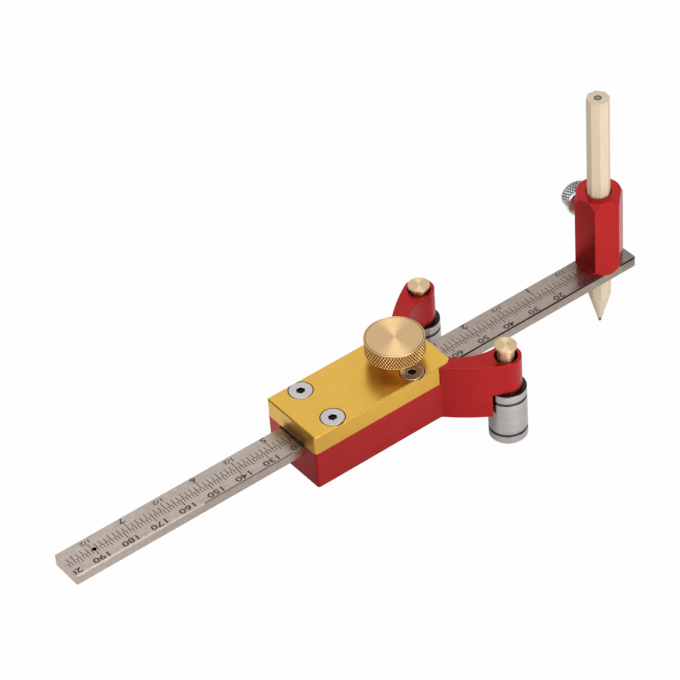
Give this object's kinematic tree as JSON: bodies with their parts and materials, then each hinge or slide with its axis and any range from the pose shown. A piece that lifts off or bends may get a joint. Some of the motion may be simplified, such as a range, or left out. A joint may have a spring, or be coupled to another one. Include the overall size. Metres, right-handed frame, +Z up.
{
  "type": "parallel marking ruler",
  "caption": "Graduated steel ruler sliding through a knob-locked fence body whose curved arms carry upright ball-bearing rollers, with a pencil held in a hexagonal holder.",
  "frame": {"origin": "on the flat underside of the red fence body, straight below the lock knob's axis", "axes": "+X along the ruler to the pencil, +Y to the far roller on the inch-scale side, +Z up along the lock knob"},
  "size_m": [0.2112, 0.053, 0.0881],
  "materials": {
    "ruler_steel": "satin ground steel with etched dark graduations",
    "red_anodised": "satin red anodised",
    "gold_anodised": "satin gold anodised",
    "screw_steel": "bright zinc",
    "brass": "turned brass",
    "bearing_steel": "ground steel",
    "cage_plastic": "black moulded",
    "ball_steel": "polished",
    "ring_steel": "dark steel",
    "axle_steel": "ground steel",
    "clip_steel": "black spring steel",
    "ring_rubber": "matt",
    "pencil_wood": "natural uncoated wood",
    "graphite": "graphite grey",
    "thumb_steel": "bright nickel",
    "pad_plastic": "plain"
  },
  "bodies": {
    "head": {"base": "red_anodised", "cover": "gold_anodised", "cover_screws": "screw_steel", "axle_tube_near": "axle_steel", "axle_tube_far": "axle_steel", "retaining_clip_near": "clip_steel", "retaining_clip_far": "clip_steel", "friction_ring_near": "ring_rubber", "friction_ring_far": "ring_rubber"},
    "beam": {"ruler": "ruler_steel", "pencil_holder": "red_anodised"},
    "pad": {"clamp_pad": "brass"},
    "knob": {"lock_knob": "brass"},
    "roller_near": {"roller_sleeve_near": "bearing_steel", "ball_cage_near": "cage_plastic", "balls_near": "ball_steel", "end_rings_near": "ring_steel"},
    "roller_far": {"roller_sleeve_far": "bearing_steel", "ball_cage_far": "cage_plastic", "balls_far": "ball_steel", "end_rings_far": "ring_steel"},
    "near_pin": {"pin_near": "brass"},
    "far_pin": {"pin_far": "brass"},
    "pencil": {"pencil_wood": "pencil_wood", "graphite_core": "graphite"},
    "tip": {"thumb_pad": "pad_plastic"},
    "thumb": {"thumb_screw": "thumb_steel"}
  },
  "joints": [
    {"name": "ruler_slide", "type": "slide", "parent": "head", "child": "beam", "axis": [1, 0, 0], "range_m": [-0.048, 0.08]},
    {"name": "pad_lift", "type": "slide", "parent": "head", "child": "pad", "axis": [0, 0, 1], "range_m": [0, 0.0012]},
    {"name": "knob_turn", "type": "hinge", "parent": "pad", "child": "knob", "pos_m": [0, 0, 0.02], "axis": [0, 0, 1], "range_deg": [0, 540]},
    {"name": "roller_near_spin", "type": "hinge", "parent": "head", "child": "roller_near", "pos_m": [0.02545, -0.02055, 0], "axis": [0, 0, 1], "continuous": true},
    {"name": "roller_far_spin", "type": "hinge", "parent": "head", "child": "roller_far", "pos_m": [0.02545, 0.02055, 0], "axis": [0, 0, 1], "continuous": true},
    {"name": "near_pin_slide", "type": "slide", "parent": "head", "child": "near_pin", "axis": [0, 0, 1], "range_m": [-0.0043, 0.006]},
    {"name": "far_pin_slide", "type": "slide", "parent": "head", "child": "far_pin", "axis": [0, 0, 1], "range_m": [-0.00165, 0.008]},
    {"name": "pencil_slide", "type": "slide", "parent": "beam", "child": "pencil", "axis": [0, 0, 1], "range_m": [-0.012, 0.02]},
    {"name": "tip_shift", "type": "slide", "parent": "beam", "child": "tip", "axis": [0.3387, 0.9409, 0], "range_m": [0, 0.0014]},
    {"name": "thumb_turn", "type": "hinge", "parent": "tip", "child": "thumb", "pos_m": [0.0802, 0, 0.0257], "axis": [0.3387, 0.9409, 0], "range_deg": [0, 720]}
  ],
  "couplings": [
    {"joint": "knob_turn", "follows": "pad_lift", "rad_per_m": 7854},
    {"joint": "thumb_turn", "follows": "tip_shift", "rad_per_m": 8976}
  ]
}
